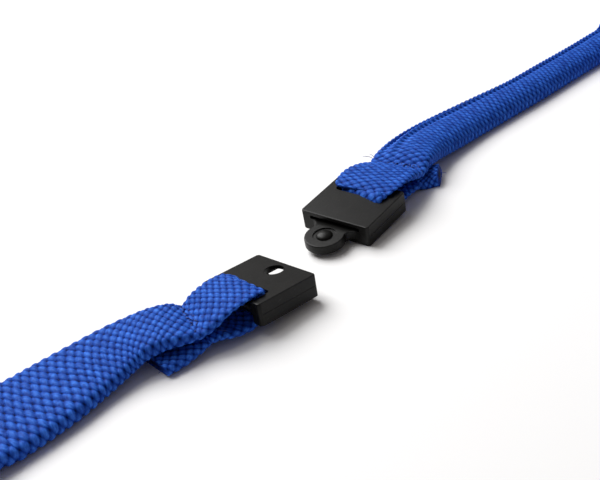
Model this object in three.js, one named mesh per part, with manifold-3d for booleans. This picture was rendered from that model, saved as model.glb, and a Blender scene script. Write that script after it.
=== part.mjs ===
// Breakaway neck lanyard: a flat braided strap, sewn round the crossbars of a two-piece plastic clasp,
// with both ends of the strap gripped by a metal crimp that carries a swivel snap hook.
// Millimetres, +Z up, the floor at z = 0. The origin is under the middle of the two clasp halves,
// and +X runs from the socket half to the tongue half.
import * as THREE from 'three';
import { mergeVertices } from 'three/addons/utils/BufferGeometryUtils.js';
import Module from 'manifold-3d';

const wasm = await Module();
wasm.setup();

// Clasp halves. In its own frame a half has its mating face at x = 0, its body behind it, and its bottom
// at z = 0.
const HALF_LENGTH = 11.0;
const HALF_WIDTH = 13.0;
const HALF_HEIGHT = 3.6;
const ARM_WIDTH = 1.7;
const WINDOW_FRONT = -7.3;
const BAR_X = -9.8;
const BAR_RADIUS = 0.8;
const EDGE = 0.2;
const PARTING = 0.05;
const GAP = 0.3;

const POCKET_DEPTH = 6.3;
const POCKET_HALF_WIDTH = 4.75;
const POCKET_FLOOR = 0.6;
const POCKET_TOP = 2.6;
const HOLE_X = -2.4;
const HOLE_RADIUS = 1.5;

const TONGUE_BOTTOM = 0.8;
const TONGUE_TOP = 2.35;
const DISC_X = 2.75;
const DISC_RADIUS = 3.25;
const DOME_RADIUS = 1.35;
const DOME_TOP = 2.75;
const DOME_GROOVE_RADIUS = 1.9;
const DOME_GROOVE_DEPTH = 0.2;
const SLOT_TOP = 2.95;
const SLOT_DEPTH = 3.0;

// Where the two halves lie: each tips about its crossbar until its nose rests on the floor.
const SOCKET_BAR = new THREE.Vector3(-17.0, -2.65, 2.95);
const TONGUE_BAR = new THREE.Vector3(16.01, 2.52, 2.95);
const TONGUE_YAW = THREE.MathUtils.degToRad(189.09);
const TIP_AXIS = new THREE.Vector3(-0.625, 0.7806, 0).normalize();
const TIP_ANGLE = THREE.MathUtils.degToRad(5.68);

// Strap.
const STRAP_WIDTH = 14.5;
const STRAP_THICKNESS = 2.2;
const FOLD_THICKNESS = 0.9;
const FOLD_WIDTH = 8.0;
const TACK_LENGTH = 1.8;

// Coil of the strap's spare length, wound on edge: two strands lie side by side in it.
const COIL_CENTRE = new THREE.Vector2(132, -49.5);
const COIL_RADIUS = 56;
const STRAND_PITCH = 5.2;
const COIL_INNER = COIL_RADIUS - 10;
const COIL_OUTER = COIL_RADIUS + 1.3;
const PAIR_TURN_RADIUS = 31.5;
const PAIR_THICKNESS = 5.0;
const TIE_ANGLE = THREE.MathUtils.degToRad(150);
const TIE_WIDTH = 8.0;
const TIE_THICKNESS = 0.7;

// Crimp and swivel hook, on one axis at this height.
const AXIS_HEIGHT = 8.0;
const CRIMP = { length: 10, thickness: 7.2, height: 16 };
const SOCKET = { length: 6.2, radius: 3.3, bore: 2.6, lip: 1.8 };
const HOOK = { length: 27, halfWidth: 7.0, thickness: 2.8, wall: 2.6, baseThickness: 4.6 };
const PIN = { along: 6.4, across: 5.0, radius: 0.8, clearance: 0.3 };
const GATE = { end: 19.6, width: 2.4, thickness: 1.0 };

const plastic = () => new THREE.MeshStandardMaterial({ color: 0x1d1d1c, roughness: 0.5, metalness: 0 });
const braid = () => new THREE.MeshStandardMaterial({ color: 0x2547a3, roughness: 0.85, metalness: 0 });
const thread = () => new THREE.MeshStandardMaterial({ color: 0x1a2f86, roughness: 0.7, metalness: 0 });
const metal = () => new THREE.MeshStandardMaterial({ color: 0xb9bcc0, roughness: 0.3, metalness: 1 });
const tape = () => new THREE.MeshStandardMaterial({ color: 0x16161a, roughness: 0.95, metalness: 0 });

// Solids and booleans.
function toSolid(geometry) {
  const bare = new THREE.BufferGeometry();
  bare.setAttribute('position', geometry.getAttribute('position').clone());
  if (geometry.index) bare.setIndex(geometry.index.clone());
  const merged = mergeVertices(bare, 1e-4);
  return new wasm.Manifold(new wasm.Mesh({
    numProp: 3,
    vertProperties: new Float32Array(merged.attributes.position.array),
    triVerts: new Uint32Array(merged.index.array),
  }));
}

function toGeometry(solid) {
  const mesh = solid.getMesh();
  const geometry = new THREE.BufferGeometry();
  geometry.setAttribute('position', new THREE.BufferAttribute(new Float32Array(mesh.vertProperties), 3));
  geometry.setIndex(new THREE.BufferAttribute(new Uint32Array(mesh.triVerts), 1));
  geometry.computeVertexNormals();
  return geometry;
}

function block(low, high) {
  const size = high.map((value, i) => value - low[i]);
  const geometry = new THREE.BoxGeometry(...size);
  geometry.translate(...low.map((value, i) => value + size[i] / 2));
  return toSolid(geometry);
}

function rod(radius, from, to, axis, sides = 32) {
  const geometry = new THREE.CylinderGeometry(radius, radius, to - from, sides);
  geometry.translate(0, (from + to) / 2, 0);
  if (axis === 'x') geometry.rotateZ(-Math.PI / 2);
  if (axis === 'z') geometry.rotateX(Math.PI / 2);
  return toSolid(geometry);
}

// A flat plate cut to an outline in x and y, with small bevels on its top and bottom edges.
function plate(outline, bottom, top, bevel) {
  const geometry = new THREE.ExtrudeGeometry(outline, {
    depth: top - bottom - 2 * bevel,
    bevelEnabled: bevel > 0,
    bevelThickness: bevel,
    bevelSize: bevel,
    bevelOffset: -bevel,
    bevelSegments: 2,
    curveSegments: 10,
  });
  geometry.translate(0, 0, bottom + bevel);
  return toSolid(geometry);
}

function roundedOutline(left, right, halfWidth, radius) {
  const shape = new THREE.Shape();
  shape.moveTo(left + radius, -halfWidth);
  shape.lineTo(right - radius, -halfWidth);
  shape.absarc(right - radius, -halfWidth + radius, radius, -Math.PI / 2, 0);
  shape.lineTo(right, halfWidth - radius);
  shape.absarc(right - radius, halfWidth - radius, radius, 0, Math.PI / 2);
  shape.lineTo(left + radius, halfWidth);
  shape.absarc(left + radius, halfWidth - radius, radius, Math.PI / 2, Math.PI);
  shape.lineTo(left, -halfWidth + radius);
  shape.absarc(left + radius, -halfWidth + radius, radius, Math.PI, 1.5 * Math.PI);
  return shape;
}

// What both halves share: the body, the strap window open at the back, the crossbar and the parting line.
function halfBody() {
  const outside = plate(roundedOutline(-HALF_LENGTH, 0, HALF_WIDTH / 2, 0.5), 0, HALF_HEIGHT, EDGE);
  const inside = HALF_WIDTH / 2 - ARM_WIDTH;
  const window = plate(roundedOutline(-HALF_LENGTH - 3, WINDOW_FRONT, inside, 0.6), -1, HALF_HEIGHT + 1, 0);
  const bar = rod(BAR_RADIUS, -inside - 0.5, inside + 0.5, 'y').translate([BAR_X, 0, HALF_HEIGHT / 2]);
  const middle = HALF_HEIGHT / 2;
  const groove = (side) => block(
    [-HALF_LENGTH + 0.6, side * HALF_WIDTH / 2 - PARTING, middle - PARTING],
    [-0.6, side * HALF_WIDTH / 2 + PARTING, middle + PARTING],
  );
  return outside.subtract(window).add(bar).subtract(groove(1)).subtract(groove(-1));
}

// The socket half: a pocket open at the mating face, and a round latch hole through both of its plates.
function socketHalf() {
  const pocket = block([-POCKET_DEPTH, -POCKET_HALF_WIDTH, POCKET_FLOOR], [1, POCKET_HALF_WIDTH, POCKET_TOP]);
  const channel = DOME_RADIUS + 0.1;
  const leadIn = block([HOLE_X, -channel, POCKET_TOP - 0.1], [1, channel, DOME_TOP + 0.25]);
  const hole = rod(HOLE_RADIUS, -1, HALF_HEIGHT + 1, 'z', 40).translate([HOLE_X, 0, 0]);
  return halfBody().subtract(pocket).subtract(leadIn).subtract(hole);
}

// Half of the tongue's outline on one side: from its flared root along the neck to the disc.
function tongueOutline() {
  const root = 4.3;
  const neck = new THREE.Vector2(1.2, 2.98);
  const start = THREE.MathUtils.degToRad(115);
  const shape = new THREE.Shape();
  shape.moveTo(-1, -root);
  shape.lineTo(0, -root);
  shape.quadraticCurveTo(0.35, -neck.y - 0.05, neck.x, -neck.y);
  shape.absarc(DISC_X, 0, DISC_RADIUS, -start, start);
  shape.lineTo(neck.x, neck.y);
  shape.quadraticCurveTo(0.35, neck.y + 0.05, 0, root);
  shape.lineTo(-1, root);
  shape.closePath();
  return shape;
}

// The latch dome: a low spherical cap that stands in a ring groove on the disc.
function dome() {
  const foot = TONGUE_TOP - DOME_GROOVE_DEPTH;
  const profile = [new THREE.Vector2(0, foot - 0.1), new THREE.Vector2(DOME_RADIUS, foot - 0.1)];
  const steps = 8;
  for (let i = 0; i <= steps; i += 1) {
    const angle = (i / steps) * Math.PI / 2;
    const radius = i === steps ? 0 : DOME_RADIUS * Math.cos(angle);
    profile.push(new THREE.Vector2(radius, foot + (DOME_TOP - foot) * Math.sin(angle)));
  }
  const geometry = new THREE.LatheGeometry(profile, 32);
  geometry.rotateX(Math.PI / 2);
  return toSolid(geometry);
}

// The tongue half: a relief slot under a thin lip, and below it the tongue with its disc and latch dome.
function tongueHalf() {
  const slot = block([-SLOT_DEPTH, -POCKET_HALF_WIDTH, TONGUE_TOP], [1, POCKET_HALF_WIDTH, SLOT_TOP]);
  const tongue = plate(tongueOutline(), TONGUE_BOTTOM, TONGUE_TOP, EDGE);
  const recess = rod(DOME_GROOVE_RADIUS, TONGUE_TOP - DOME_GROOVE_DEPTH, TONGUE_TOP + 1, 'z', 32)
    .translate([DISC_X, 0, 0]);
  return halfBody().subtract(slot).add(tongue).subtract(recess).add(dome().translate([DISC_X, 0, 0]));
}

// A band along a route. A station has a place, a roll (0 flat, 90 degrees on edge), a width and a thickness.
function bandFrames(stations) {
  const places = stations.map((s) => new THREE.Vector3(s.x, s.y, s.z));
  return stations.map((s, i) => {
    const before = places[Math.max(i - 1, 0)];
    const after = places[Math.min(i + 1, places.length - 1)];
    const along = after.clone().sub(before).normalize();
    const level = new THREE.Vector3(0, 0, 1).cross(along).normalize();
    const upright = along.clone().cross(level);
    const roll = THREE.MathUtils.degToRad(s.roll);
    const across = level.clone().multiplyScalar(Math.cos(roll)).addScaledVector(upright, Math.sin(roll));
    const outward = along.clone().cross(across);
    return { place: places[i], across, outward, width: s.width, thickness: s.thickness };
  });
}

function bandSolid(stations) {
  const corners = [
    [1, 0.4], [0.86, 1], [-0.86, 1], [-1, 0.4],
    [-1, -0.4], [-0.86, -1], [0.86, -1], [1, -0.4],
  ];
  const sides = corners.length;
  const positions = [];
  const index = [];
  const frames = bandFrames(stations);
  for (const f of frames) {
    for (const [a, b] of corners) {
      const p = f.place.clone()
        .addScaledVector(f.across, a * f.width / 2)
        .addScaledVector(f.outward, b * f.thickness / 2);
      positions.push(p.x, p.y, p.z);
    }
  }
  for (let ring = 0; ring + 1 < frames.length; ring += 1) {
    for (let side = 0; side < sides; side += 1) {
      const a = ring * sides + side;
      const b = ring * sides + (side + 1) % sides;
      index.push(a, b, a + sides, b, b + sides, a + sides);
    }
  }
  const last = (frames.length - 1) * sides;
  for (let side = 1; side + 1 < sides; side += 1) {
    index.push(0, side + 1, side);
    index.push(last, last + side, last + side + 1);
  }
  const geometry = new THREE.BufferGeometry();
  geometry.setAttribute('position', new THREE.Float32BufferAttribute(positions, 3));
  geometry.setIndex(index);
  geometry.computeVertexNormals();
  return geometry;
}

// Routes: one smooth curve through points chosen by hand, each [x, y, lift, roll, width, thickness]. The lift is
// how far the strap's lowest edge is above the floor.
function restHeight(roll, width, thickness) {
  const angle = THREE.MathUtils.degToRad(roll);
  return (width / 2) * Math.abs(Math.sin(angle)) + (thickness / 2) * Math.abs(Math.cos(angle));
}

function smooth(points, steps) {
  const places = points.map((p) => new THREE.Vector3(p[0], p[1], p[2]));
  const curve = new THREE.CatmullRomCurve3(places, false, 'centripetal');
  const spans = points.length - 1;
  const stations = [];
  for (let i = 0; i <= steps; i += 1) {
    const t = (i / steps) * spans;
    const k = Math.min(Math.floor(t), spans - 1);
    const place = curve.getPoint(i / steps);
    const blend = (column) => THREE.MathUtils.lerp(points[k][column], points[k + 1][column], t - k);
    const [roll, width, thickness] = [blend(3), blend(4), blend(5)];
    const z = place.z + restHeight(roll, width, thickness);
    stations.push({ x: place.x, y: place.y, z, roll, width, thickness });
  }
  return stations;
}

// Points along an arc on edge, by angle in degrees about a centre.
function edgeArc(centre, radius, from, to, count, lift, thickness = STRAP_THICKNESS) {
  const points = [];
  for (let i = 0; i <= count; i += 1) {
    const angle = THREE.MathUtils.degToRad(from + ((to - from) * i) / count);
    const x = centre[0] + radius * Math.cos(angle);
    const y = centre[1] + radius * Math.sin(angle);
    points.push([x, y, lift, 90, STRAP_WIDTH, thickness]);
  }
  return points;
}

// The socket half's strap, from its stitching to the coil: along the floor, round a U-turn on edge, back along
// the floor, and round a second turn on edge into the coil's side.
const LEFT_ROUTE = [
  [-26.6, -1.4, 2.6, 0, 9.8, 2.0],
  [-28.6, -0.9, 2.5, 0, 10.2, 2.2],
  [-31.0, 0.9, 2.0, 0, 10.8, 2.3],
  [-34.0, 2.9, 1.3, 0, 11.8, 2.4],
  [-39.0, 4.0, 0.6, 0, 13.4, 2.5],
  [-46.0, 4.0, 0.2, 0, 15.0, 2.7],
  [-54.0, 3.9, 0.1, 0, 15.3, 2.7],
  [-61.0, 3.8, 0.1, 12, 14.8, 2.4],
  [-68.0, 3.0, 0.1, 48, 14.5, 2.2],
  [-75.0, 1.3, 0.1, 84, 14.5, 2.2],
  ...edgeArc([-80, -29], 30, 90, 270, 12, 0.1),
  [-71.0, -59.6, 0.1, 84, 14.5, 2.2],
  [-62.0, -61.4, 0.1, 48, 14.5, 2.2],
  [-53.0, -64.4, 0.1, 12, 14.5, 2.2],
  [-40.0, -69.2, 0.1, 0, 14.5, 2.2],
  [-20.0, -76.0, 0.1, 0, 14.5, 2.2],
  [0.0, -81.8, 0.1, 0, 14.5, 2.2],
  [14.0, -85.4, 0.1, 12, 14.5, 2.2],
  [22.0, -87.2, 0.1, 48, 14.5, 2.2],
  [30.0, -88.7, 0.1, 84, 14.5, 2.2],
  ...edgeArc([33.5, -49.5], 40, -84, -4, 8, 0.1),
];

// The tongue half's strap, from its stitching to the coil. It is cupped near the clasp, and flattens and turns
// on edge further on.
const RIGHT_ROUTE = [
  [26.5, 4.9, 2.65, 0, 10.4, 2.2],
  [30.0, 5.8, 2.0, 0, 10.6, 3.0],
  [34.5, 6.8, 1.35, 0, 10.3, 3.7],
  [40.0, 7.5, 0.65, 0, 9.9, 4.1],
  [47.0, 7.8, 0.25, 0, 9.4, 4.0],
  [57.0, 7.5, 0.15, 0, 8.9, 3.9],
  [69.0, 7.1, 0.15, 0, 8.6, 3.8],
  [82.0, 6.9, 0.15, 0, 8.6, 3.8],
  [96.0, 6.8, 0.15, 2, 8.7, 3.7],
  [104.0, 6.8, 0.1, 44, 11.2, 2.8],
  [110.0, 6.8, 0.1, 84, 14.0, 2.2],
  [113.5, 6.7, 0.1, 90, 14.4, 2.2],
];
const RIGHT_SPLIT = 5;

// The fold of strap that comes forward over the crossbar, turns down in the window and goes back below the bar.
function fold(backLength) {
  const clear = BAR_RADIUS + 0.35;
  const outer = clear + FOLD_THICKNESS;
  const outline = new THREE.Shape();
  outline.moveTo(-backLength, -outer);
  outline.lineTo(0, -outer);
  outline.absarc(0, 0, outer, -Math.PI / 2, Math.PI / 2);
  outline.lineTo(-backLength, outer - 0.4);
  outline.lineTo(-backLength, outer - 0.4 - FOLD_THICKNESS);
  outline.lineTo(0, clear);
  outline.absarc(0, 0, clear, Math.PI / 2, -Math.PI / 2, true);
  outline.lineTo(-backLength, -clear);
  outline.closePath();
  const across = { depth: FOLD_WIDTH, bevelEnabled: false, curveSegments: 8 };
  const geometry = new THREE.ExtrudeGeometry(outline, across);
  geometry.rotateX(Math.PI / 2);
  geometry.translate(0, FOLD_WIDTH / 2, 0);
  return geometry;
}

// The zigzag of thread that holds the two layers together, with the layers inside it.
function tack(width) {
  const outline = roundedOutline(-TACK_LENGTH / 2, TACK_LENGTH / 2, width / 2, 0.3);
  return toGeometry(plate(outline, -1.9, 1.3, 0.15));
}

// The coil: the outer shape of the strands wound on edge, thinned at the bottom where the tie passes under it.
function coil() {
  const top = STRAP_WIDTH;
  const profile = [
    [COIL_INNER, 0.5], [COIL_INNER + 0.5, 0], [COIL_OUTER - 0.5, 0], [COIL_OUTER, 0.5],
    [COIL_OUTER, top - 0.5], [COIL_OUTER - 0.5, top], [COIL_INNER + 0.5, top], [COIL_INNER, top - 0.5],
    [COIL_INNER, 0.5],
  ].map(([r, z]) => new THREE.Vector2(r, z));
  const ring = new THREE.LatheGeometry(profile, 64);
  ring.rotateX(Math.PI / 2);
  const groove = block(
    [COIL_INNER - 1, -TIE_WIDTH / 2 - GAP, -1],
    [COIL_OUTER + 1, TIE_WIDTH / 2 + GAP, TIE_THICKNESS + GAP],
  ).rotate([0, 0, THREE.MathUtils.radToDeg(TIE_ANGLE)]);
  return toGeometry(toSolid(ring).subtract(groove));
}

// The tie: a band of hook-and-loop tape round the strands of the coil.
function tie() {
  const bottom = 0.02;
  const inner = block(
    [COIL_INNER - GAP, -TIE_WIDTH, bottom + TIE_THICKNESS],
    [COIL_OUTER + GAP, TIE_WIDTH, STRAP_WIDTH + GAP],
  );
  const outer = block(
    [COIL_INNER - GAP - TIE_THICKNESS, -TIE_WIDTH / 2, bottom],
    [COIL_OUTER + GAP + TIE_THICKNESS, TIE_WIDTH / 2, STRAP_WIDTH + GAP + TIE_THICKNESS],
  );
  return toGeometry(outer.subtract(inner));
}

// Hardware, along +x from the straps to the hook's nose, on its own axis.
function crimp() {
  const half = [CRIMP.thickness / 2, CRIMP.height / 2];
  const body = plate(roundedOutline(0, CRIMP.length, half[0], 0.8), -half[1], half[1], 0.4);
  const mouth = block([-1, -PAIR_THICKNESS / 2 - GAP, -STRAP_WIDTH / 2 - GAP],
    [CRIMP.length - 2, PAIR_THICKNESS / 2 + GAP, STRAP_WIDTH / 2 + GAP]);
  const eye = rod(1.9, CRIMP.length - 3, CRIMP.length + 1, 'x', 24);
  const dent = (side) => block([3.2, side * half[0] - 0.35, -5.5], [5.4, side * half[0] + 0.35, 5.5]);
  return toGeometry(body.subtract(mouth).subtract(eye).subtract(dent(1)).subtract(dent(-1)));
}

function swivelSocket() {
  const start = CRIMP.length + GAP;
  const end = start + SOCKET.length;
  const profile = [
    [0, start - 2.2], [1.6, start - 2.2], [1.6, start],
    [SOCKET.radius - 0.4, start], [SOCKET.radius, start + 0.4],
    [SOCKET.radius, end - 0.4], [SOCKET.radius - 0.4, end], [SOCKET.lip, end], [SOCKET.lip, end - 1.2],
    [SOCKET.bore, end - 1.2], [SOCKET.bore, start + 1.2], [0, start + 1.2],
  ].map(([r, x]) => new THREE.Vector2(r, x));
  const geometry = new THREE.LatheGeometry(profile, 36);
  geometry.rotateZ(-Math.PI / 2);
  return geometry;
}

// The hook starts at the swivel socket's mouth: a headed shank, a forked base and a loop open on one side.
const HOOK_START = CRIMP.length + GAP + SOCKET.length;

function hookBody() {
  const shank = rod(1.5, -3.4, 2.4, 'x', 28).add(rod(2.3, -4.4, -3.1, 'x', 28));
  const outline = new THREE.Shape();
  const nose = HOOK.length - HOOK.halfWidth;
  outline.moveTo(2, -3);
  outline.lineTo(6, -HOOK.halfWidth);
  outline.lineTo(nose, -HOOK.halfWidth);
  outline.absarc(nose, 0, HOOK.halfWidth, -Math.PI / 2, Math.PI / 2);
  outline.lineTo(6, HOOK.halfWidth);
  outline.lineTo(2, 3);
  outline.closePath();
  const inside = HOOK.halfWidth - HOOK.wall;
  const hole = new THREE.Shape();
  hole.moveTo(10.5, -inside);
  hole.lineTo(nose, -inside);
  hole.absarc(nose, 0, inside, -Math.PI / 2, Math.PI / 2);
  hole.lineTo(10.5, inside);
  hole.absarc(10.5, inside - 1.5, 1.5, Math.PI / 2, Math.PI);
  hole.lineTo(9, -inside + 1.5);
  hole.absarc(10.5, -inside + 1.5, 1.5, Math.PI, 1.5 * Math.PI);
  const loop = plate(outline, -HOOK.thickness / 2, HOOK.thickness / 2, 0.5);
  const bore = plate(hole, -HOOK.thickness, HOOK.thickness, 0);
  const base = plate(roundedOutline(2.2, 9, 6.4, 1.2), -HOOK.baseThickness / 2, HOOK.baseThickness / 2, 0.5);
  const mouth = block([8.5, 3.2, -3], [GATE.end, 9, 3]);
  const fork = block([3.0, 2.6, -1.25], [GATE.end, 9, 1.25]);
  const pinHole = rod(PIN.radius + PIN.clearance, -4, 4, 'z', 20).translate([PIN.along, PIN.across, 0]);
  return loop.subtract(bore).subtract(mouth).add(base).add(shank).subtract(fork).subtract(pinHole);
}

function gateLever() {
  const low = PIN.across - GATE.width / 2;
  const high = PIN.across + GATE.width / 2;
  const side = GATE.thickness / 2;
  const arm = block([PIN.along, low, -side], [GATE.end - GAP, high, side]);
  const boss = rod(GATE.width / 2, -side, side, 'z', 24).translate([PIN.along, PIN.across, 0]);
  const shiftedHub = arm.add(boss).translate([0, 0, -0.55]);
  const tip = block([PIN.along + 4, low, -1.25 + 0.2], [GATE.end - GAP, high, 1.25 - 0.2]);
  const hole = rod(PIN.radius + PIN.clearance, -3, 3, 'z', 20).translate([PIN.along, PIN.across, 0]);
  return shiftedHub.add(tip).subtract(hole);
}

function gatePin() {
  const reach = HOOK.baseThickness / 2;
  return rod(PIN.radius, -reach, reach, 'z', 20).translate([PIN.along, PIN.across, 0]);
}

// The gate's torsion spring, closely wound round the pin beside the lever.
function gateSpring() {
  const outside = rod(1.75, 0.3, 1.0, 'z', 28);
  const bore = rod(PIN.radius + 0.3, 0, 2, 'z', 28);
  const leg = block([-3.0, -1.75, 0.3], [0, -1.2, 1.0]);
  return outside.add(leg).subtract(bore).translate([PIN.along, PIN.across, 0]);
}

const lanyard = new THREE.Group();

function place(group, name, geometry, material) {
  const mesh = new THREE.Mesh(geometry, material);
  mesh.name = name;
  group.add(mesh);
  return mesh;
}

// A clasp half, tipped about its crossbar.
function addHalf(name, geometry, bar, yaw) {
  const level = new THREE.Group();
  level.position.copy(bar);
  level.rotation.z = yaw;
  const tipped = new THREE.Group();
  tipped.quaternion.setFromAxisAngle(TIP_AXIS, TIP_ANGLE);
  level.add(tipped);
  lanyard.add(level);
  place(tipped, name, geometry, plastic()).position.set(-BAR_X, 0, -HALF_HEIGHT / 2);
}

// The fold round a crossbar, with its stitching behind it and its cut tail below the strap.
function addFold(prefix, bar, yaw, backLength, tackWidth, tail) {
  const group = new THREE.Group();
  group.position.copy(bar);
  group.rotation.z = yaw;
  lanyard.add(group);
  place(group, `${prefix}_strap_fold`, fold(backLength), braid());
  const stitch = place(group, `${prefix}_bar_tack`, tack(tackWidth), thread());
  stitch.position.set(-backLength - GAP - TACK_LENGTH / 2, 0, 0.55);
  place(lanyard, `${prefix}_strap_tail`, bandSolid(smooth(tail, 6)), braid());
}

addHalf('socket_half', toGeometry(socketHalf()), SOCKET_BAR, 0);
addHalf('tongue_half', toGeometry(tongueHalf()), TONGUE_BAR, TONGUE_YAW);
addFold('left', SOCKET_BAR, THREE.MathUtils.degToRad(-4), 6.6, 9.6, [
  [-26.5, -1.9, 0.35, 0, 8.4, 1.4], [-29.2, -1.9, 0.15, 0, 7.8, 1.5], [-32.0, -1.85, 0.1, 0, 7.0, 1.6],
]);
addFold('right', TONGUE_BAR, THREE.MathUtils.degToRad(192), 7.4, 10.2, [
  [27.4, 2.4, 0.3, 0, 6.6, 1.2], [28.5, 1.1, 0.15, 0, 5.4, 1.6], [29.4, -0.8, 0.2, 0, 4.0, 1.9],
]);

place(lanyard, 'left_strap_run', bandSolid(smooth(LEFT_ROUTE, 78)), braid());
place(lanyard, 'right_strap_near', bandSolid(smooth(RIGHT_ROUTE.slice(0, RIGHT_SPLIT + 1), 14)), braid());
const farStart = RIGHT_ROUTE[RIGHT_SPLIT];
const farRoute = [[farStart[0] + GAP, ...farStart.slice(1)], ...RIGHT_ROUTE.slice(RIGHT_SPLIT + 1)];
place(lanyard, 'right_strap_far', bandSolid(smooth(farRoute, 16)), braid());

const coilGroup = new THREE.Group();
coilGroup.position.set(COIL_CENTRE.x, COIL_CENTRE.y, 0.05);
lanyard.add(coilGroup);
place(coilGroup, 'strap_coil', coil(), braid());
place(coilGroup, 'coil_tie', tie(), tape()).rotation.z = TIE_ANGLE;

// The two strands leave the coil's inside together, turn towards its middle and end in the crimp. Their circle
// touches the coil's at the angle LEAVE, and the solid starts where the pair is clear of the coil.
const LEAVE = THREE.MathUtils.degToRad(100);
const PAIR_START = 38;
const PAIR_END = -24;
const turnOffset = COIL_RADIUS - 1.5 * STRAND_PITCH - PAIR_TURN_RADIUS;
const turnCentre = [
  COIL_CENTRE.x + turnOffset * Math.cos(LEAVE),
  COIL_CENTRE.y + turnOffset * Math.sin(LEAVE),
];
const pairLift = AXIS_HEIGHT - STRAP_WIDTH / 2;
const pair = edgeArc(turnCentre, PAIR_TURN_RADIUS, PAIR_START, PAIR_END, 8, pairLift, PAIR_THICKNESS);
const towards = new THREE.Vector2(
  Math.sin(THREE.MathUtils.degToRad(PAIR_END)),
  -Math.cos(THREE.MathUtils.degToRad(PAIR_END)),
);
const pairEnd = pair[pair.length - 1];
pair.push([pairEnd[0] + 4 * towards.x, pairEnd[1] + 4 * towards.y, pairLift, 90, STRAP_WIDTH, PAIR_THICKNESS]);
place(lanyard, 'strap_ends', bandSolid(smooth(pair, 14)), braid());

const hardware = new THREE.Group();
hardware.position.set(pairEnd[0] + 1.2 * towards.x, pairEnd[1] + 1.2 * towards.y, AXIS_HEIGHT);
hardware.rotation.z = Math.atan2(towards.y, towards.x);
lanyard.add(hardware);
place(hardware, 'crimp', crimp(), metal());
place(hardware, 'swivel_socket', swivelSocket(), metal());

// The hook stands on edge, as the strands do: its plane is vertical.
const hookPlane = new THREE.Group();
hookPlane.position.x = HOOK_START;
hookPlane.rotation.x = Math.PI / 2;
hardware.add(hookPlane);
place(hookPlane, 'hook_body', toGeometry(hookBody()), metal());
place(hookPlane, 'gate_lever', toGeometry(gateLever()), metal());
place(hookPlane, 'gate_pin', toGeometry(gatePin()), metal());
place(hookPlane, 'gate_spring', toGeometry(gateSpring()), metal());

export default lanyard;
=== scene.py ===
import math
import random

import bmesh
import bpy
import numpy as np
from mathutils import Matrix, Vector


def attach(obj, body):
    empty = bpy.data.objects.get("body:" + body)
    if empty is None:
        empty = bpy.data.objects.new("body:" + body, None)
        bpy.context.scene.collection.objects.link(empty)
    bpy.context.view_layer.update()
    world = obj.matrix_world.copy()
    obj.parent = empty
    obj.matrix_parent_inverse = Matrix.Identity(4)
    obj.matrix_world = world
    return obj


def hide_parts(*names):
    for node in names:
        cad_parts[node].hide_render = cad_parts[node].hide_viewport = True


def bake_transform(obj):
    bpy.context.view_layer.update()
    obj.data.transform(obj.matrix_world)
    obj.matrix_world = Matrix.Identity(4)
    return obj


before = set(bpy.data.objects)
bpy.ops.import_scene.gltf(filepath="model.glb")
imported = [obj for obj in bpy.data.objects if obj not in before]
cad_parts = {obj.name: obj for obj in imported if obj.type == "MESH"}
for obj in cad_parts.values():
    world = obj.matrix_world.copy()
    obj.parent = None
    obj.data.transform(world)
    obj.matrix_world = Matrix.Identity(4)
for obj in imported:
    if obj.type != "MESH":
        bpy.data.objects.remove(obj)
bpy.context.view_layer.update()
random.seed(11)
scene = bpy.context.scene

# ---------------------------------------------------------------- camera
camera = bpy.data.objects.new("camera", bpy.data.cameras.new("camera"))
camera.data.lens = 60.0
camera.data.sensor_width = 36.0
camera.data.clip_start = 0.01
right = Vector((0.719, -0.675, -0.1656)).normalized()
back = Vector((-0.5357, -0.69, 0.4868))
back = (back - right * back.dot(right)).normalized()
up = back.cross(right)
camera.matrix_world = Matrix((right, up, back)).transposed().to_4x4()
camera.location = (-0.083361, -0.105173, 0.078653)
scene.collection.objects.link(camera)
scene.camera = camera

# ---------------------------------------------------------------- strap sizes, in metres
STRAP_WIDTH = 0.0145
STRAP_THICKNESS = 0.0022
COLUMNS = 11          # pairs of crossing yarns round the flattened tubular braid
ROW = 0.00142         # one row of floats along it, where the strap lies flat
STRAP_RELIEF = 0.00050
FOLD_RELIEF = 0.00042
AROUND = 224          # points round each section
SEEN_STEP = 0.00015   # from one section to the next, where the camera looks
FAR_STEP = 0.00045
FOLD_STEP = 0.00013
FLOOR_CLEARANCE = 0.00003
PATH_STEP = 0.0015    # from one point of a cord's path to the next
COIL_CENTRE = (0.132, -0.0495)
COIL_RADIUS = 0.056
STRAND_PITCH = 0.0052
PAIR_RADIUS = 0.0315
PAIR_SPACING = 0.0025
PAIR_END = -24.0
AXIS_HEIGHT = 0.008

# Route points: x, y, height of the strap's lowest edge, roll in degrees, width, thickness, then how far the
# section is cupped and how far it rides over the clasp's arms (both 0 to 1).
FLAT = (STRAP_WIDTH, STRAP_THICKNESS, 0, 0)
LEFT_NEAR = [
    (-0.0152, -0.00265, 0.0036, 3, 0.0096, 0.0014, 0, 1),
    (-0.0160, -0.00262, 0.0038, 3, 0.0098, 0.0015, 0, 1),
    (-0.0178, -0.00250, 0.0038, 3, 0.0100, 0.0016, 0, 1),
    (-0.0200, -0.00225, 0.0035, 3, 0.0100, 0.0017, 0, 0.8),
    (-0.0224, -0.00185, 0.0029, 2, 0.0098, 0.0018, 0, 0.2),
    (-0.0243, -0.00130, 0.0025, 1, 0.0095, 0.0013, 0, 0),
    (-0.0262, -0.00050, 0.0026, 0, 0.0098, 0.0020, 0, 0),
    (-0.0290, 0.00120, 0.0024, 0, 0.0102, 0.0024, 0, 0),
    (-0.0330, 0.00310, 0.0015, 0, 0.0114, 0.0024, 0, 0),
    (-0.0390, 0.00400, 0.0006, 0, 0.0134, 0.0025, 0, 0),
    (-0.0460, 0.00400, 0.0002, 0, 0.0151, 0.0027, 0, 0),
    (-0.0540, 0.00390, 0.0001, 0, 0.0154, 0.0027, 0, 0),
]
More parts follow.
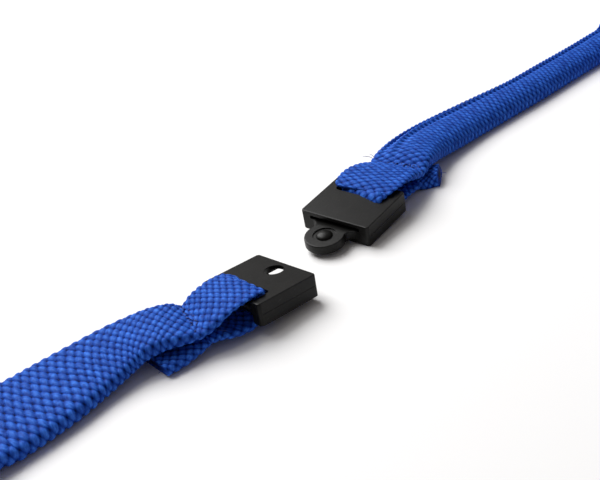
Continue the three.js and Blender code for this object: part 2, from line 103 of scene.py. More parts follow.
LEFT_FAR = [
    (-0.0610, 0.0038, 0.0001, 12, *FLAT),
    (-0.0680, 0.0030, 0.0001, 48, *FLAT),
    (-0.0750, 0.0013, 0.0001, 84, *FLAT),
]
LEFT_BACK = [
    (-0.0710, -0.0596, 0.0001, 84, *FLAT),
    (-0.0620, -0.0614, 0.0001, 48, *FLAT),
    (-0.0530, -0.0644, 0.0001, 12, *FLAT),
    (-0.0400, -0.0692, 0.0001, 0, *FLAT),
    (-0.0200, -0.0760, 0.0001, 0, *FLAT),
    (0.0000, -0.0818, 0.0001, 0, *FLAT),
    (0.0140, -0.0854, 0.0001, 12, *FLAT),
    (0.0220, -0.0872, 0.0001, 48, *FLAT),
    (0.0300, -0.0887, 0.0001, 84, *FLAT),
]
RIGHT_NEAR = [
    (0.0143, 0.00210, 0.0036, 3, 0.0098, 0.0014, 0, 1),
    (0.0152, 0.00230, 0.0038, 3, 0.0108, 0.0015, 0, 1),
    (0.0172, 0.00275, 0.0038, 3, 0.0116, 0.0016, 0, 1),
    (0.0196, 0.00330, 0.0035, 3, 0.0116, 0.0018, 0, 0.8),
    (0.0226, 0.00395, 0.0029, 2, 0.0112, 0.0020, 0, 0.2),
    (0.0252, 0.00455, 0.0025, 1, 0.0108, 0.0015, 0, 0),
    (0.0276, 0.00530, 0.0024, 0, 0.0106, 0.0026, 0.3, 0),
    (0.0310, 0.00640, 0.0019, 0, 0.0105, 0.0033, 0.7, 0),
    (0.0350, 0.00745, 0.0012, 0, 0.0103, 0.0038, 1, 0),
    (0.0400, 0.00800, 0.0006, 0, 0.0102, 0.0041, 1, 0),
    (0.0470, 0.00820, 0.0002, 0, 0.0099, 0.0040, 1, 0),
    (0.0560, 0.00760, 0.0001, 0, 0.0089, 0.0040, 1, 0),
    (0.0640, 0.00700, 0.0001, 0, 0.0082, 0.0039, 1, 0),
    (0.0740, 0.00695, 0.0001, 0, 0.0081, 0.0038, 1, 0),
    (0.0840, 0.00680, 0.0001, 0, 0.0079, 0.0038, 1, 0),
    (0.0960, 0.00670, 0.0001, 2, 0.0084, 0.0037, 0.9, 0),
    (0.1040, 0.00675, 0.0001, 44, 0.0112, 0.0028, 0.4, 0),
    (0.1110, 0.00670, 0.0001, 84, 0.0140, 0.0022, 0, 0),
    (0.1210, 0.00650, 0.0001, 90, *FLAT),
]


def arc(centre, radius, start, end, count, lift=0.0001):
    """Points on edge along an arc or a spiral; radius is a number, or a function of the angle in degrees."""
    points = []
    for k in range(count + 1):
        angle = start + (end - start) * k / count
        r = radius(angle) if callable(radius) else radius
        a = math.radians(angle)
        points.append((centre[0] + r * math.cos(a), centre[1] + r * math.sin(a), lift, 90, *FLAT))
    return points


def heading_out(angle):
    return math.sin(math.radians(angle)), -math.cos(math.radians(angle))


LEAVE_DEGREES = 100
LEAVE = math.radians(LEAVE_DEGREES)
TURN_OFFSET = COIL_RADIUS - 1.5 * STRAND_PITCH - PAIR_RADIUS
TURN_CENTRE = (COIL_CENTRE[0] + TURN_OFFSET * math.cos(LEAVE), COIL_CENTRE[1] + TURN_OFFSET * math.sin(LEAVE))
CRIMP_LIFT = AXIS_HEIGHT - STRAP_WIDTH / 2


def into_crimp(side):
    """The last turn, from the coil to the crimp: side is +1 for the outer strand and -1 for the inner one."""
    points = []
    steps = 12
    for k in range(1, steps + 1):
        share = k / steps
        angle = LEAVE_DEGREES + (PAIR_END - LEAVE_DEGREES) * share
        ease = min(share / 0.7, 1.0)
        ease = ease * ease * (3 - 2 * ease)
        spacing = STRAND_PITCH + (PAIR_SPACING - STRAND_PITCH) * ease
        r = PAIR_RADIUS + side * spacing / 2
        a = math.radians(angle)
        lift = 0.0001 + (CRIMP_LIFT - 0.0001) * ease
        points.append((TURN_CENTRE[0] + r * math.cos(a), TURN_CENTRE[1] + r * math.sin(a), lift, 90, *FLAT))
    hx, hy = heading_out(PAIR_END)
    last = points[-1]
    for d in (0.004, 0.0075):
        points.append((last[0] + hx * d, last[1] + hy * d, CRIMP_LIFT, 90, *FLAT))
    return points


def left_spiral(angle):
    return COIL_RADIUS + 0.0025 - 0.0077 * (180 - angle) / 80


def right_spiral(angle):
    return COIL_RADIUS - 2 * STRAND_PITCH * (90 - angle) / 360


LEFT_ROUTE = (
    LEFT_NEAR + LEFT_FAR + arc((-0.080, -0.029), 0.030, 90, 270, 12) + LEFT_BACK
    + arc((0.0335, -0.0495), 0.040, -84, -6, 8)
    + arc(COIL_CENTRE, left_spiral, 176, LEAVE_DEGREES, 6)
    + into_crimp(1)
)
RIGHT_ROUTE = RIGHT_NEAR + arc(COIL_CENTRE, right_spiral, 90, -260, 26) + into_crimp(-1)

LEFT_TAIL = [
    (-0.0158, -0.00264, 0.00375, 3, 0.0096, 0.0014, 0, 0.6),
    (-0.01505, -0.00265, 0.00345, 3, 0.0094, 0.0013, 0, 0.2),
    (-0.01475, -0.00265, 0.0024, 3, 0.0092, 0.0012, 0, 0),
    (-0.01505, -0.00265, 0.00135, 3, 0.0092, 0.0012, 0, 0),
    (-0.0160, -0.00262, 0.00075, 3, 0.0092, 0.0012, 0, 0),
    (-0.0180, -0.00300, 0.00035, 3, 0.0098, 0.0012, 0, 0),
    (-0.0205, -0.00285, 0.00050, 2, 0.0096, 0.0013, 0, 0),
    (-0.0230, -0.00220, 0.00105, 2, 0.0092, 0.0012, 0, 0),
    (-0.0246, -0.00185, 0.00130, 1, 0.0088, 0.0010, 0, 0),
    (-0.0268, -0.00190, 0.00080, 0, 0.0084, 0.0013, 0, 0),
    (-0.0295, -0.00195, 0.00030, 0, 0.0078, 0.0016, 0, 0),
    (-0.0320, -0.00185, 0.00015, 0, 0.0070, 0.0017, 0, 0),
]
RIGHT_TAIL = [
    (0.0148, 0.00215, 0.00375, 3, 0.0100, 0.0014, 0, 0.6),
    (0.01405, 0.00210, 0.00345, 3, 0.0096, 0.0013, 0, 0.2),
    (0.01375, 0.00205, 0.0024, 3, 0.0094, 0.0012, 0, 0),
    (0.01405, 0.00210, 0.00135, 3, 0.0094, 0.0012, 0, 0),
    (0.0150, 0.00225, 0.00075, 3, 0.0094, 0.0012, 0, 0),
    (0.0175, 0.00280, 0.00065, 3, 0.0094, 0.0012, 0, 0),
    (0.0205, 0.00335, 0.00080, 2, 0.0094, 0.0013, 0, 0),
    (0.0235, 0.00345, 0.00110, 2, 0.0094, 0.0012, 0, 0),
    (0.0253, 0.00335, 0.00110, 1, 0.0094, 0.0010, 0, 0),
    (0.0266, 0.00270, 0.00050, 0, 0.0078, 0.0014, 0.1, 0),
    (0.0280, 0.00140, 0.00015, 0, 0.0060, 0.0019, 0.4, 0),
    (0.0290, 0.00010, 0.00015, 0, 0.0046, 0.0023, 0.6, 0),
    (0.0296, -0.00100, 0.00030, 0, 0.0038, 0.0024, 0.6, 0),
]

# ---------------------------------------------------------------- sections of the strap
# Each is drawn in millimetres, to the half width and half thickness that follow it.
CUPPED = np.array([
    (0.0, -1.85), (2.2, -1.9), (4.0, -1.8), (4.6, -0.9), (4.65, 0.3), (4.35, 1.1), (3.95, 1.25), (3.65, 0.8),
    (3.35, 0.8), (2.95, 1.5), (2.4, 1.9), (1.8, 1.55), (1.5, 1.5), (1.0, 1.85), (0.2, 1.95), (-1.0, 1.85),
    (-2.3, 1.6), (-3.5, 1.1), (-4.3, 0.35), (-4.65, -0.6), (-4.4, -1.5), (-3.5, -1.85), (-1.8, -1.9),
])
CUPPED_HALF = (4.65, 1.9)
RIDING = np.array([
    (0.0, -0.8), (2.6, -0.8), (4.2, -0.75), (4.62, -0.1), (4.85, 0.36), (5.5, 0.32), (5.95, 0.45),
    (6.0, 0.62), (5.6, 0.82), (4.0, 0.88), (2.0, 0.92), (0.0, 0.94), (-2.0, 0.92), (-4.0, 0.88),
    (-5.6, 0.82), (-6.0, 0.62), (-5.95, 0.45), (-5.5, 0.32), (-4.85, 0.36), (-4.62, -0.1),
    (-4.2, -0.75), (-2.6, -0.8),
])
RIDING_HALF = (6.0, 0.87)
FLAT_HALF = (7.25, 1.1)
FLAT_SECTION = np.array([
    (0.0, -1.0), (0.45, -1.0), (0.82, -0.95), (0.96, -0.6), (1.0, 0.0), (0.96, 0.6), (0.82, 0.92),
    (0.45, 1.04),
    (0.0, 1.06), (-0.45, 1.04), (-0.82, 0.92), (-0.96, 0.6), (-1.0, 0.0), (-0.96, -0.6), (-0.82, -0.95),
    (-0.45, -1.0),
]) * FLAT_HALF


def round_outline(points, count):
    """A closed smooth curve through the points, as count points the same distance apart."""
    n = len(points)
    dense = []
    for k in range(n):
        p0, p1, p2, p3 = (points[(k + j) % n] for j in (-1, 0, 1, 2))
        for t in np.linspace(0, 1, 24, endpoint=False):
            dense.append(0.5 * (2 * p1 + (p2 - p0) * t + (2 * p0 - 5 * p1 + 4 * p2 - p3) * t * t
                                + (3 * p1 - p0 - 3 * p2 + p3) * t ** 3))
    dense.append(dense[0])
    dense = np.array(dense)
    far = np.concatenate([[0], np.cumsum(np.linalg.norm(np.diff(dense, axis=0), axis=1))])
    at = np.linspace(0, far[-1], count, endpoint=False)
    return np.column_stack([np.interp(at, far, dense[:, c]) for c in (0, 1)])


def smooth_route(points, step):
    """Every column of the points on one centripetal curve, at a spacing that step(x, y) gives."""
    p = np.array(points, float)
    knots = np.concatenate([[0], np.cumsum(np.linalg.norm(np.diff(p[:, :3], axis=0), axis=1) ** 0.5)])
    slope = np.gradient(p, knots, axis=0)
    dense = []
    for k in range(len(p) - 1):
        h = knots[k + 1] - knots[k]
        t = np.linspace(0, 1, 60, endpoint=False)[:, None]
        dense.append((2 * t ** 3 - 3 * t ** 2 + 1) * p[k] + (t ** 3 - 2 * t ** 2 + t) * h * slope[k]
                     + (3 * t ** 2 - 2 * t ** 3) * p[k + 1] + (t ** 3 - t ** 2) * h * slope[k + 1])
    dense = np.concatenate(dense + [p[-1:]])
    far = np.concatenate([[0], np.cumsum(np.linalg.norm(np.diff(dense[:, :3], axis=0), axis=1))])
    at = [0.0]
    while at[-1] < far[-1]:
        x = np.interp(at[-1], far, dense[:, 0])
        y = np.interp(at[-1], far, dense[:, 1])
        at.append(at[-1] + step(x, y))
    at = np.array(at[:-1] + [far[-1]])
    if at[-1] - at[-2] < 2e-5:
        at = np.delete(at, -2)
    stations = np.column_stack([np.interp(at, far, dense[:, c]) for c in range(dense.shape[1])])
    return at, stations


def centres(stations):
    """The middle of the strap at each station: its lowest edge is at the station's height."""
    roll = np.radians(stations[:, 3])
    rest = stations[:, 4] / 2 * np.abs(np.sin(roll)) + stations[:, 5] / 2 * np.abs(np.cos(roll))
    place = stations[:, :3].copy()
    place[:, 2] += rest
    return place


def braid_relief(rows, columns):
    """Height of a one-over-one braid, and which yarn is on top, from places counted in rows and columns."""
    u = rows + columns
    v = rows - columns
    i = np.floor(u)
    j = np.floor(v)
    wave, crown = 0.42, 0.70

    def bulge(f):
        return np.sqrt(np.clip(1 - np.abs(0.97 * (2 * f - 1)) ** 3.4, 0, 1)) - 1

    high_a = wave * np.cos(math.pi * (v - 0.5 + i)) + crown * bulge(u - i)
    high_b = -wave * np.cos(math.pi * (u - 0.5 + j)) + crown * bulge(v - j)
    top_a = high_a >= high_b
    height = np.maximum(high_a, high_b)
    cross = np.where(top_a, u - i, v - j)
    along = np.where(top_a, v, u)
    ident = np.where(top_a, np.mod(i, COLUMNS) * 0.37, np.mod(j, COLUMNS) * 0.61 + 20)
    return np.clip((height + 0.45) / 1.0, 0, 1), cross, along, ident


# Slow waves that shift the rows a little, so that the braid is not perfectly even.
WOBBLE = 0.055
WOBBLE_WAVES = ((0.31, 0.4), (0.17, -0.6), (0.53, 0.9), (0.11, 1.3), (0.71, -0.7), (0.23, 0.2))


def add_mesh(name, verts, faces, smooth=True):
    mesh = bpy.data.meshes.new(name)
    mesh.from_pydata(verts, [], faces)
    mesh.polygons.foreach_set("use_smooth", [smooth] * len(mesh.polygons))
    mesh.update()
    obj = bpy.data.objects.new(name, mesh)
    scene.collection.objects.link(obj)
    return obj


def braided(name, points, step, count, relief=STRAP_RELIEF, side=None, row=lambda x: ROW):
    """The strap swept along its route as a closed mesh, with the braid's relief on its surface."""
    far, st = smooth_route(points, step)
    place = centres(st)
    along = np.gradient(place, far, axis=0)
    along /= np.linalg.norm(along, axis=1)[:, None]
    if side is None:
        level = np.cross([0, 0, 1.0], along)
    else:
        level = np.tile(np.array(side, float), (len(place), 1))
        level -= along * (level * along).sum(1)[:, None]
    level /= np.linalg.norm(level, axis=1)[:, None]
    upright = np.cross(along, level)
    roll = np.radians(st[:, 3])[:, None]
    across = level * np.cos(roll) + upright * np.sin(roll)
    outward = np.cross(along, across)

    flat = round_outline(FLAT_SECTION, count) / FLAT_HALF
    cup = round_outline(CUPPED, count) / CUPPED_HALF
    ride = round_outline(RIDING, count) / RIDING_HALF
    c = st[:, 6][:, None, None]
    r = st[:, 7][:, None, None]
    half = np.stack([st[:, 4] / 2, st[:, 5] / 2], axis=1)[:, None, :]
    section = ((1 - c - r) * flat + c * cup + r * ride) * half
    tangent = np.roll(section, -1, axis=1) - np.roll(section, 1, axis=1)
    normal = np.stack([tangent[:, :, 1], -tangent[:, :, 0]], axis=2)
    normal /= np.linalg.norm(normal, axis=2)[:, :, None]

    pitch = np.array([row(x) for x in st[:, 0]])
    counted = np.concatenate([[0], np.cumsum(np.diff(far) / pitch[1:])])
    rows = counted[:, None] + np.zeros(count)[None, :]
    columns = (np.arange(count) / count * COLUMNS)[None, :] + np.zeros(len(far))[:, None]
    phase = np.random.default_rng(7).uniform(0, 2 * math.pi, len(WOBBLE_WAVES))
    wobble = WOBBLE * sum(np.sin(rows * f + columns * g + p) for (f, g), p in zip(WOBBLE_WAVES, phase))
    height, cross, run, ident = braid_relief(rows + wobble, columns)
    amount = relief * np.minimum(1.0, st[:, 5] / 0.0018)[:, None] * (pitch / ROW)[:, None]
    section = section + normal * ((height - 0.75) * amount)[:, :, None]
    verts = (place[:, None, :] + across[:, None, :] * section[:, :, :1]
             + outward[:, None, :] * section[:, :, 1:]).reshape(-1, 3)
    verts[:, 2] = np.maximum(verts[:, 2], FLOOR_CLEARANCE)

    rings = len(far)
    k = np.arange(rings - 1)[:, None] * count
    s = np.arange(count)[None, :]
    nxt = (s + 1) % count
    quads = np.stack([k + s, k + nxt, k + nxt + count, k + s + count], axis=2).reshape(-1, 4)
    first, last = len(verts), len(verts) + 1
    verts = np.concatenate([verts, place[:1], place[-1:]])
    faces = quads.tolist()
    base = (rings - 1) * count
    faces += [[first, int(n), int(m)] for m, n in zip(s[0], nxt[0])]
    faces += [[last, base + int(m), base + int(n)] for m, n in zip(s[0], nxt[0])]
    obj = add_mesh(name, verts.tolist(), faces)
    tip = np.array([0.0, 0.0])
    # The material also reads this height and paints shade in the gaps and highlights on the crowns from it.
    attribute = obj.data.attributes.new("relief", "FLOAT", "POINT")
    attribute.data.foreach_set("value", np.concatenate([height.ravel(), tip]).astype(np.float32))
    yarn = np.stack([cross, run, ident], axis=2).reshape(-1, 3)
    yarn = np.concatenate([yarn, np.zeros((2, 3))]).astype(np.float32)
    attribute = obj.data.attributes.new("yarn", "FLOAT_VECTOR", "POINT")
    attribute.data.foreach_set("vector", yarn.ravel())
    spacing = np.concatenate([[0], np.cumsum(np.linalg.norm(np.diff(place, axis=0), axis=1))])
    keep = [int(np.searchsorted(spacing, d)) for d in np.arange(0, spacing[-1], PATH_STEP)] + [len(place) - 1]
    path = [tuple(float(x) for x in place[n]) for n in keep]
    return obj, path, float(spacing[-1])


def left_row(x):
    return 0.00118 + 0.00024 * min(max((-x - 0.026) / 0.014, 0.0), 1.0)


def right_row(x):
    return 0.00122 - 0.00012 * min(max((x - 0.030) / 0.012, 0.0), 1.0)


def seen_step(x, y):
    """Fine steps where the camera looks, coarser ones on the rest of the strap."""
    if y > -0.02 and -0.060 < x < 0.104:
        return SEEN_STEP
    return FAR_STEP


def fold_step(x, y):
    return FOLD_STEP


# ---------------------------------------------------------------- materials
class Nodes:
    """A small helper that builds one node material."""

    def __init__(self, name):
        self.material = bpy.data.materials.new(name)
        self.material.use_nodes = True
        self.tree = self.material.node_tree
        self.shader = self.tree.nodes["Principled BSDF"]

    def node(self, kind, inputs=None, **settings):
        made = self.tree.nodes.new(kind)
        for key, value in settings.items():
            setattr(made, key, value)
        for key, value in (inputs or {}).items():
            if hasattr(value, "is_linked") and hasattr(value, "links"):
                self.tree.links.new(value, made.inputs[key])
            else:
                made.inputs[key].default_value = value
        return made

    def noise(self, vector, scale, detail=3.0, roughness=0.55):
        return self.node("ShaderNodeTexNoise", {"Vector": vector, "Scale": scale, "Detail": detail,
                                                "Roughness": roughness}).outputs["Fac"]

    def ramp(self, fac, stops):
        made = self.node("ShaderNodeValToRGB", {"Fac": fac})
        elements = made.color_ramp.elements
        while len(elements) < len(stops):
            elements.new(0.5)
        for element, (place, colour) in zip(elements, stops):
            element.position = place
            element.color = colour if len(colour) == 4 else (*colour, 1)
        return made.outputs["Color"]

    def mix(self, fac, a, b, blend="MIX"):
        made = self.node("ShaderNodeMix", data_type="RGBA", blend_type=blend)
        for socket, value in ((made.inputs[0], fac), (made.inputs[6], a), (made.inputs[7], b)):
            if hasattr(value, "links"):
                self.tree.links.new(value, socket)
            else:
                socket.default_value = value
        return made.outputs[2]

    def math(self, operation, a, b=0.0, clamp=False):
        made = self.node("ShaderNodeMath", operation=operation, use_clamp=clamp)
        for socket, value in ((made.inputs[0], a), (made.inputs[1], b)):
            if hasattr(value, "links"):
                self.tree.links.new(value, socket)
            else:
                socket.default_value = value
        return made.outputs[0]

    def bump(self, height, strength, distance, normal=None):
        inputs = {"Height": height, "Strength": strength, "Distance": distance}
        if normal is not None:
            inputs["Normal"] = normal
        return self.node("ShaderNodeBump", inputs).outputs["Normal"]

    def set(self, **values):
        for key, value in values.items():
            socket = self.shader.inputs[key.replace("_", " ")]
            if hasattr(value, "links"):
                self.tree.links.new(value, socket)
            else:
                socket.default_value = value
        return self.material


def braid_material():
    n = Nodes("braided_polyester")
    place = n.node("ShaderNodeTexCoord").outputs["Object"]
    relief = n.node("ShaderNodeAttribute", attribute_name="relief").outputs["Fac"]
    yarn = n.node("ShaderNodeAttribute", attribute_name="yarn").outputs["Vector"]
    stretched = n.node("ShaderNodeMapping", {"Vector": yarn, "Scale": (3.4, 1.7, 3.0)}).outputs["Vector"]
    fibre = n.noise(stretched, 1.0, 4.0, 0.6)
    tint = n.noise(place, 620.0, 3.0)
    # The braid's colour follows its height: painted shade, darkest in the gaps between floats, and a painted
    # highlight on the crowns.
    painted_relief_shade = n.ramp(relief, [
        (0.0, (0.0005, 0.0020, 0.0200)),
        (0.25, (0.0016, 0.0090, 0.0950)),
        (0.50, (0.0080, 0.0520, 0.3700)),
        (0.90, (0.0340, 0.1500, 0.6900)),
    ])
    # Fibre streaks: partly the yarn's own tone varying, partly painted sheen highlights that lift and whiten
    # the blue.
    fibre_tone_and_sheen = n.ramp(fibre, [(0.32, (0.52, 0.56, 0.66)), (0.68, (1.60, 1.45, 1.22))])
    colour = n.mix(1.0, painted_relief_shade, fibre_tone_and_sheen, "MULTIPLY")
    patch = n.ramp(tint, [(0.35, (0.72, 0.74, 0.80)), (0.65, (1.25, 1.20, 1.12))])
    colour = n.mix(1.0, colour, patch, "MULTIPLY")
    rough = n.math("MULTIPLY_ADD", fibre, 0.25)
    rough.node.inputs[2].default_value = 0.40
    normal = n.bump(fibre, 0.6, 0.00010)
    return n.set(Base_Color=colour, Roughness=rough, Normal=normal, Specular_IOR_Level=0.05)


def thread_material():
    n = Nodes("sewing_thread")
    place = n.node("ShaderNodeTexCoord").outputs["Object"]
    twist = n.node("ShaderNodeTexWave", {"Vector": place, "Scale": 2600.0, "Distortion": 3.0},
                   bands_direction="DIAGONAL").outputs["Fac"]
    colour = n.ramp(twist, [(0.0, (0.004, 0.014, 0.10)), (1.0, (0.018, 0.060, 0.36))])
    return n.set(Base_Color=colour, Roughness=0.6, Normal=n.bump(twist, 0.5, 0.00003), Specular_IOR_Level=0.3)


def plastic_material():
    n = Nodes("moulded_plastic")
    place = n.node("ShaderNodeTexCoord").outputs["Object"]
    grain = n.noise(place, 5200.0, 3.0, 0.6)
    cloud = n.noise(place, 260.0, 3.0)
    drag = n.node("ShaderNodeMapping", {"Vector": place, "Scale": (900.0, 5200.0, 2600.0),
                                        "Rotation": (0.0, 0.0, 0.5)}).outputs["Vector"]
    scuff = n.ramp(n.noise(drag, 1.0, 2.0), [(0.60, (0, 0, 0)), (0.74, (1, 1, 1))])
    base = n.ramp(cloud, [(0.3, (0.0045, 0.0044, 0.0040)), (0.7, (0.0078, 0.0075, 0.0070))])
    colour = n.mix(n.math("MULTIPLY", scuff, 0.25), base, (0.045, 0.045, 0.042, 1.0))
    rough = n.math("MULTIPLY_ADD", grain, 0.22)
    rough.node.inputs[2].default_value = 0.27
    normal = n.bump(cloud, 0.12, 0.0002, n.bump(grain, 0.16, 0.00003))
    return n.set(Base_Color=colour, Roughness=rough, Normal=normal, Specular_IOR_Level=0.17)


def metal_material(name, colour, low, high):
    n = Nodes(name)
    place = n.node("ShaderNodeTexCoord").outputs["Object"]
    cloud = n.noise(place, 380.0, 4.0)
    fine = n.noise(place, 6000.0, 2.0)
    drag = n.node("ShaderNodeMapping", {"Vector": place, "Scale": (700.0, 4200.0, 3000.0)}).outputs["Vector"]
    scratch = n.noise(drag, 1.0, 3.0)
    tone = n.ramp(cloud, [(0.3, tuple(0.86 * c for c in colour)), (0.7, colour)])
    rough = n.ramp(scratch, [(0.3, (low,) * 3), (0.72, (high,) * 3)])
    normal = n.bump(fine, 0.06, 0.00002, n.bump(cloud, 0.05, 0.0002))
    return n.set(Base_Color=tone, Metallic=1.0, Roughness=rough, Normal=normal)


def tape_material():
    n = Nodes("loop_tape")
    place = n.node("ShaderNodeTexCoord").outputs["Object"]
    loops = n.node("ShaderNodeTexVoronoi", {"Vector": place, "Scale": 2400.0}).outputs["Distance"]
    fuzz = n.noise(place, 5200.0, 3.0)
    colour = n.ramp(loops, [(0.1, (0.030, 0.030, 0.034)), (0.6, (0.006, 0.006, 0.008))])
    height = n.math("SUBTRACT", fuzz, loops)
    return n.set(Base_Color=colour, Roughness=0.95, Normal=n.bump(height, 0.8, 0.00015), Sheen_Weight=0.4,
                 Specular_IOR_Level=0.2)


def floor_material():
    n = Nodes("studio_floor")
    place = n.node("ShaderNodeTexCoord").outputs["Object"]
    cloud = n.noise(place, 9.0, 2.0)
    colour = n.ramp(cloud, [(0.3, (0.93, 0.925, 0.92)), (0.7, (0.95, 0.948, 0.945))])
    return n.set(Base_Color=colour, Roughness=0.75, Specular_IOR_Level=0.1)


braid = braid_material()
thread = thread_material()
plastic = plastic_material()
nickel = metal_material("nickel_plate", (0.66, 0.65, 0.62), 0.14, 0.34)
wire = metal_material("spring_steel", (0.50, 0.50, 0.50), 0.25, 0.45)
tape = tape_material()


def finish_piece(obj, material, body=None, nodes=()):
    obj.data.materials.clear()
    obj.data.materials.append(material)
    if body:
        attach(obj, body)
    if nodes:
        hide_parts(*nodes)
    return obj


# ---------------------------------------------------------------- the two straps
left_cord, left_path, left_length = braided("strap_left", LEFT_ROUTE, seen_step, AROUND, row=left_row)
finish_piece(left_cord, braid, "strap", ["left_strap_run", "strap_ends"])
right_cord, right_path, right_length = braided("strap_right", RIGHT_ROUTE, seen_step, AROUND, row=right_row)
finish_piece(right_cord, braid, None, ["right_strap_near", "right_strap_far", "strap_coil"])
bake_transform(right_cord)

left_fold, _, _ = braided("strap_fold_left", LEFT_TAIL, fold_step, AROUND, FOLD_RELIEF, side=(0, -1, 0),
                          row=left_row)
finish_piece(left_fold, braid, "strap", ["left_strap_fold", "left_strap_tail"])
right_fold, _, _ = braided("strap_fold_right", RIGHT_TAIL, fold_step, AROUND, FOLD_RELIEF, side=(0, 1, 0),
                           row=right_row)
finish_piece(right_fold, braid, "right_strap_end", ["right_strap_fold", "right_strap_tail"])


# ---------------------------------------------------------------- threads
def tube(name, lines, radius, sides=7):
    """One mesh of closed tubes along lines of points."""
    verts, faces = [], []
    for line in lines:
        p = np.array(line, float)
        d = np.gradient(p, axis=0)
        d /= np.linalg.norm(d, axis=1)[:, None]
        side = np.cross(d, [0.13, 0.31, 0.94])
        side /= np.linalg.norm(side, axis=1)[:, None]
        other = np.cross(d, side)
        start = len(verts)
        for k in range(len(p)):
            taper = 0.35 if k in (0, len(p) - 1) else 1.0
            for m in range(sides):
                a = 2 * math.pi * m / sides
                verts.append(tuple(p[k] + radius * taper * (side[k] * math.cos(a) + other[k] * math.sin(a))))
        for k in range(len(p) - 1):
            for m in range(sides):
                a, b = start + k * sides + m, start + k * sides + (m + 1) % sides
                faces.append((a, b, b + sides, a + sides))
        faces.append(tuple(start + m for m in reversed(range(sides))))
        faces.append(tuple(start + (len(p) - 1) * sides + m for m in range(sides)))
    return add_mesh(name, verts, faces)


def bar_tack(name, middle, heading, half, top, body, node):
    """Two rows of stitches across the strap, each a short bowed thread that dips in at both ends."""
    h = Vector((math.cos(heading), math.sin(heading), 0))
    a = Vector((-h.y, h.x, 0))
    lines = []
    for row in (-0.45, 0.45):
        stitches = 13
        for k in range(stitches):
            t0 = -half + 2 * half * (k + 0.08) / stitches
            t1 = -half + 2 * half * (k + 0.92) / stitches
            jog = random.uniform(-0.00012, 0.00012)
            line = []
            for q in range(7):
                s = q / 6
                lift = math.sin(math.pi * s) * 0.00022 - 0.00018
                slant = (s - 0.5) * 0.0006 * (1 if k % 2 else -1)
                p = Vector(middle) + a * (t0 + (t1 - t0) * s) + h * (row * 0.001 + jog + slant)
                crown = 1 - (abs(t0 + (t1 - t0) * s) / half) ** 4
                p.z = top + lift - 0.0005 * (1 - crown)
                line.append(tuple(p))
            lines.append(line)
    obj = tube(name, lines, 0.00014)
    return finish_piece(obj, thread, body, [node])


left_tack = bar_tack("stitches_left", (-0.0243, -0.0013, 0), math.radians(158), 0.0046, 0.00395, "strap",
                     "left_bar_tack")
right_tack = bar_tack("stitches_right", (0.0252, 0.00455, 0), math.radians(16), 0.0052, 0.00412,
                      "right_strap_end", "right_bar_tack")

left_wisps = tube("wisps_left", [
    [(-0.0246, 0.0034, 0.0038), (-0.0248, 0.0041, 0.0041),
     (-0.0253, 0.0044, 0.0044), (-0.0259, 0.0043, 0.0046)],
    [(-0.0238, -0.0060, 0.0034), (-0.0234, -0.0067, 0.0033),
     (-0.0228, -0.0070, 0.0030), (-0.0224, -0.0069, 0.0026)],
    [(-0.0319, -0.0040, 0.0008), (-0.0325, -0.0042, 0.0010), (-0.0329, -0.0040, 0.0008)],
], 0.00005, 5)
finish_piece(left_wisps, thread, "strap")
right_wisps = tube("wisps_right", [
    [(0.0251, 0.0096, 0.0040), (0.0249, 0.0103, 0.0044), (0.0243, 0.0108, 0.0047), (0.0240, 0.0113, 0.0046)],
    [(0.0254, 0.0097, 0.0039), (0.0256, 0.0104, 0.0044), (0.0252, 0.0109, 0.0048)],
    [(0.0296, -0.0009, 0.0016), (0.0300, -0.0016, 0.0019), (0.0304, -0.0019, 0.0018)],
], 0.00005, 5)
finish_piece(right_wisps, thread, "right_strap_end")

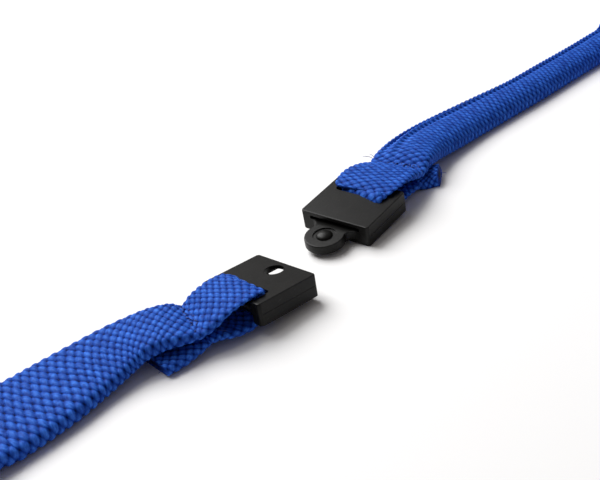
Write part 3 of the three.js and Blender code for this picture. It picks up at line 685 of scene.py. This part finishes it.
# ---------------------------------------------------------------- moulded and metal parts
for node, body, material, slot, width in (
    ("socket_half", "socket", plastic, "clasp_plastic", 0.00013),
    ("tongue_half", "tongue", plastic, "clasp_plastic", 0.00013),
    ("crimp", "strap", nickel, "plated_metal", 0.0002),
    ("swivel_socket", "strap", nickel, "plated_metal", 0.0),
    ("hook_body", "hook", nickel, "plated_metal", 0.0002),
    ("gate_lever", "gate", nickel, "plated_metal", 0.0002),
    ("gate_pin", "hook", nickel, "plated_metal", 0.0001),
    ("gate_spring", "hook", wire, "spring_wire", 0.0001),
    ("coil_tie", "strap", tape, "tie_tape", 0.0002),
):
    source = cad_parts[node]
    piece = bpy.data.objects.new(node + "_finished", source.data.copy())
    scene.collection.objects.link(piece)
    work = bmesh.new()
    work.from_mesh(piece.data)
    bmesh.ops.remove_doubles(work, verts=work.verts, dist=2e-6)
    bmesh.ops.dissolve_limit(work, angle_limit=math.radians(1.2), verts=work.verts, edges=work.edges)
    work.to_mesh(piece.data)
    work.free()
    piece.data.polygons.foreach_set("use_smooth", [True] * len(piece.data.polygons))
    if width:
        rounding = piece.modifiers.new("rounding", "BEVEL")
        rounding.width = width
        rounding.segments = 2
        rounding.limit_method = "ANGLE"
        rounding.angle_limit = math.radians(38)
    faired = piece.modifiers.new("faired", "WEIGHTED_NORMAL")
    faired.keep_sharp = True
    faired.weight = 90
    bpy.context.view_layer.update()
    graph = bpy.context.evaluated_depsgraph_get()
    piece.data = bpy.data.meshes.new_from_object(piece.evaluated_get(graph))
    piece.modifiers.clear()
    finish_piece(piece, material, body, [node])

# ---------------------------------------------------------------- floor and light
floor = add_mesh("floor", [(-2, -2, 0), (2, -2, 0), (2, 2, 0), (-2, 2, 0)], [(0, 1, 2, 3)])
floor.data.materials.append(floor_material())

world = bpy.data.worlds.new("studio")
world.use_nodes = True
world.node_tree.nodes["Background"].inputs["Color"].default_value = (1.0, 0.94, 0.92, 1.0)
world.node_tree.nodes["Background"].inputs["Strength"].default_value = 0.17
scene.world = world


def area(name, place, target, size, power):
    light = bpy.data.objects.new(name, bpy.data.lights.new(name, "AREA"))
    light.data.shape = "DISK"
    light.data.size = size
    light.data.energy = power
    light.location = place
    direction = Vector(target) - Vector(place)
    light.rotation_euler = direction.to_track_quat("-Z", "Y").to_euler()
    scene.collection.objects.link(light)
    return light


area("key", (0.03, 0.45, 0.48), (0.0, 0.0, 0.0), 0.54, 5.2)
area("overhead", (-0.10, 0.22, 0.62), (0.0, 0.0, 0.0), 0.40, 1.2)
scene.view_settings.view_transform = "Standard"
